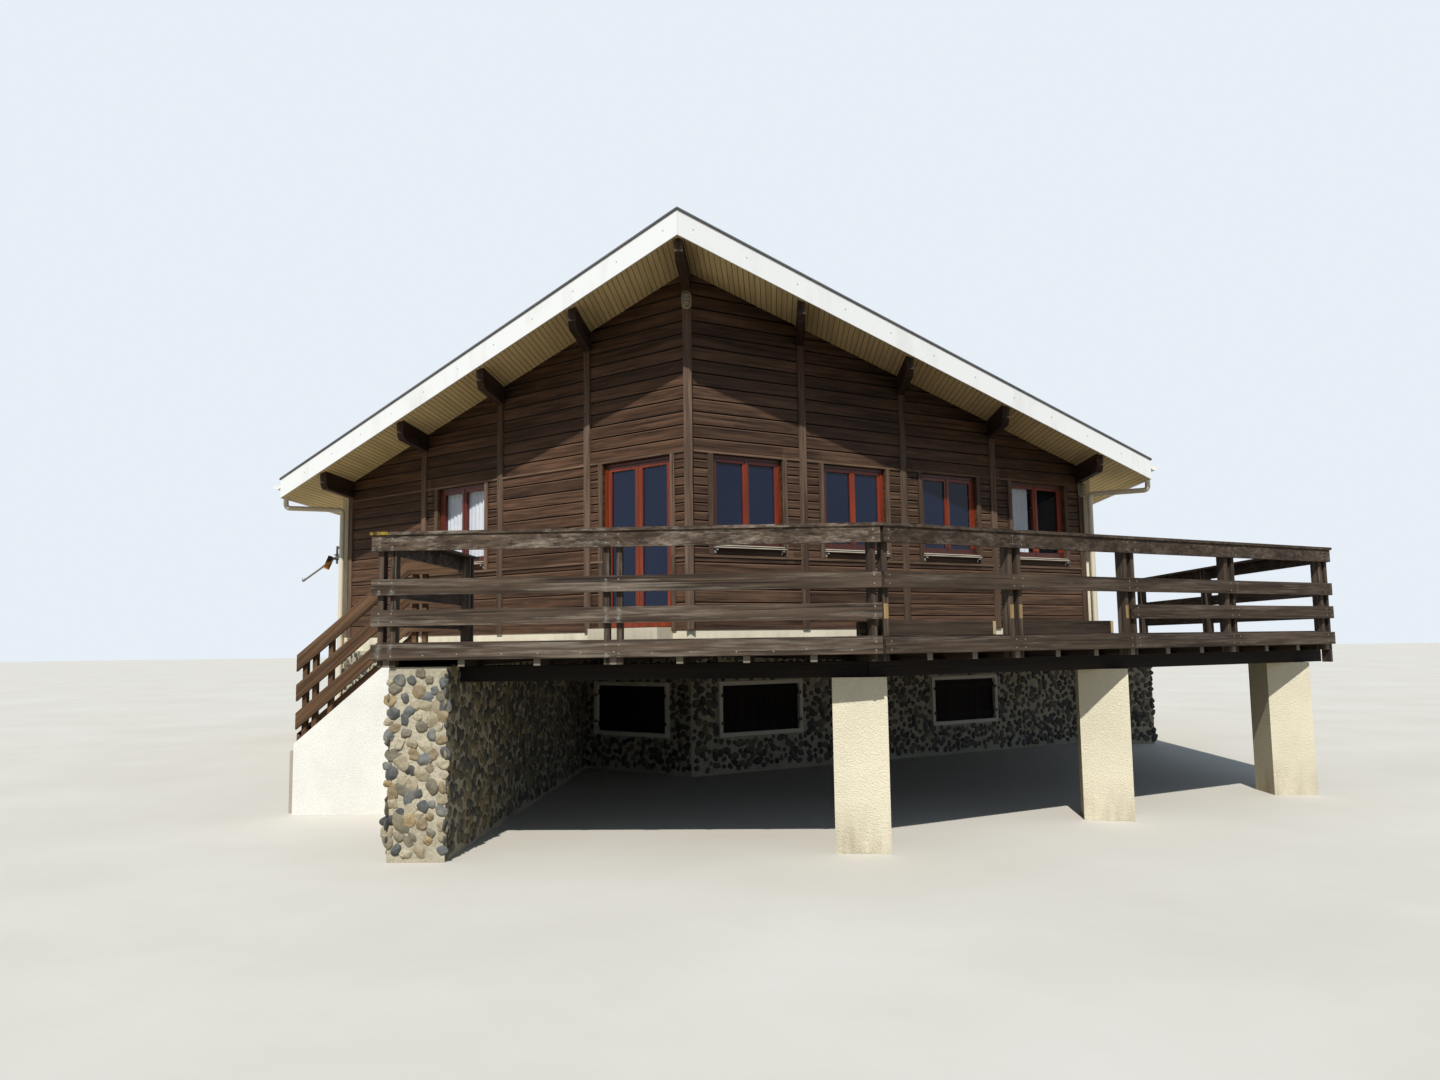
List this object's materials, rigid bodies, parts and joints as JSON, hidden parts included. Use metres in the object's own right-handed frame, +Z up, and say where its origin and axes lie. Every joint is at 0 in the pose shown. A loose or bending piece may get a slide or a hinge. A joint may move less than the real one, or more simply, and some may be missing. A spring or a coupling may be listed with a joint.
{
  "type": "beach house",
  "caption": "Timber beach house with a pointed front under a wide gable roof, and a raised railed deck over a pebble-faced basement.",
  "frame": {"origin": "middle of the plan of the whole building, on the ground", "axes": "+Z up; +Y from the deck towards the back of the house; +X to the right seen from the deck"},
  "size_m": [14.1606, 17.538, 6.7517],
  "materials": {
    "pebble_facing": "rough, pebble-dashed",
    "cream_render": "rough render",
    "concrete": "matte",
    "dark_cladding": "stained, matte",
    "grey_posts": "weathered",
    "weathered_deck": "weathered, rough",
    "mahogany": "varnished, satin",
    "white_boards": "painted, satin",
    "soffit_boards": "matte",
    "pale_sill": "weathered",
    "roof_felt": "matte",
    "roof_core": "matte",
    "glass": "clear",
    "curtain_cloth": "soft",
    "white_gutter": "satin",
    "beige_pipe": "satin",
    "lamp_body": "satin",
    "dark_bracket": "matte"
  },
  "bodies": {
    "house": {"basement_front_left": "pebble_facing", "basement_front_right": "pebble_facing", "basement_side_walls": "pebble_facing", "basement_back_wall": "pebble_facing", "basement_floor": "concrete", "basement_window_surrounds": "cream_render", "basement_shutters": "dark_cladding", "stone_pier": "pebble_facing", "rear_pier": "pebble_facing", "deck_pillars": "cream_render", "floor_slab": "cream_render", "side_walls": "cream_render", "back_wall": "dark_cladding", "door_bay_sides": "dark_cladding", "door_bay_head": "dark_cladding", "plain_bays": "dark_cladding", "left_window_bay": "dark_cladding", "right_window_bays_inner": "dark_cladding", "right_window_bays_outer": "dark_cladding", "front_posts": "grey_posts", "band_rails": "grey_posts", "window_trims": "grey_posts", "window_sills": "pale_sill", "window_frames": "mahogany", "window_panes": "glass", "curtains": "curtain_cloth", "door_frame": "mahogany", "door_step": "concrete", "purlins": "grey_posts", "roof_left": "roof_core", "roof_right": "roof_core", "roof_lining": "soffit_boards", "roof_covering": "roof_felt", "roof_edge_boards": "white_boards", "gutters": "white_gutter", "downpipes": "beige_pipe", "deck_beams": "weathered_deck", "deck_joists": "weathered_deck", "deck_boards": "weathered_deck", "deck_fascias": "weathered_deck", "rail_posts": "weathered_deck", "rails": "weathered_deck", "loose_boards": "weathered_deck", "stair_walls": "cream_render", "stair_steps": "concrete", "stair_rails": "weathered_deck", "lamps": "lamp_body", "wall_bracket": "dark_bracket"},
    "left_leaf": {"left_door_leaf": "mahogany", "left_door_pane": "glass"},
    "right_leaf": {"right_door_leaf": "mahogany", "right_door_pane": "glass"}
  },
  "joints": [
    {"name": "left_door_hinge", "type": "hinge", "parent": "house", "child": "left_leaf", "pos_m": [-1.12539, -2.78982, 2.9], "axis": [0, 0, 1], "range_deg": [0, 100]},
    {"name": "right_door_hinge", "type": "hinge", "parent": "house", "child": "right_leaf", "pos_m": [-0.21467, -3.39597, 2.9], "axis": [0, 0, -1], "range_deg": [0, 100]}
  ]
}
